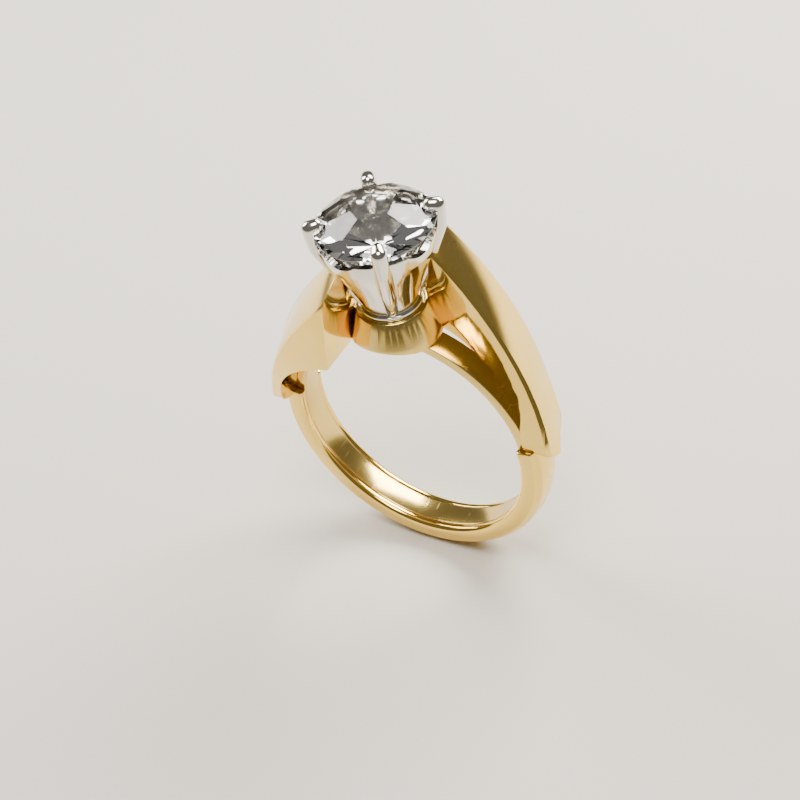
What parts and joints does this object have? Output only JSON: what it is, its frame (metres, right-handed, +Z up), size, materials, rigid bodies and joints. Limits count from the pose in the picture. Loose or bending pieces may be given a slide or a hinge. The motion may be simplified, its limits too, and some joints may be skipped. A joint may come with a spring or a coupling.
{
  "type": "engagement ring",
  "caption": "Two-tone solitaire ring with a round clear stone in a claw head between flat-topped bypass arms.",
  "frame": {"origin": "centre of the finger hole", "axes": "+Z up through the stone, Y along the finger, the right arm on +X"},
  "size_m": [0.0208, 0.0098, 0.0274],
  "materials": {
    "yellow_gold": "polished",
    "white_gold": "polished",
    "clear_stone": "faceted, clear"
  },
  "bodies": {
    "root": {"finger_rail": "yellow_gold", "lower_shank": "yellow_gold", "right_arm": "yellow_gold", "left_arm": "yellow_gold", "head_collar": "yellow_gold", "seat_washer": "white_gold", "head_cup": "white_gold", "prong_right": "white_gold", "prong_back": "white_gold", "prong_left": "white_gold", "prong_front": "white_gold", "stone": "clear_stone"}
  },
  "joints": []
}
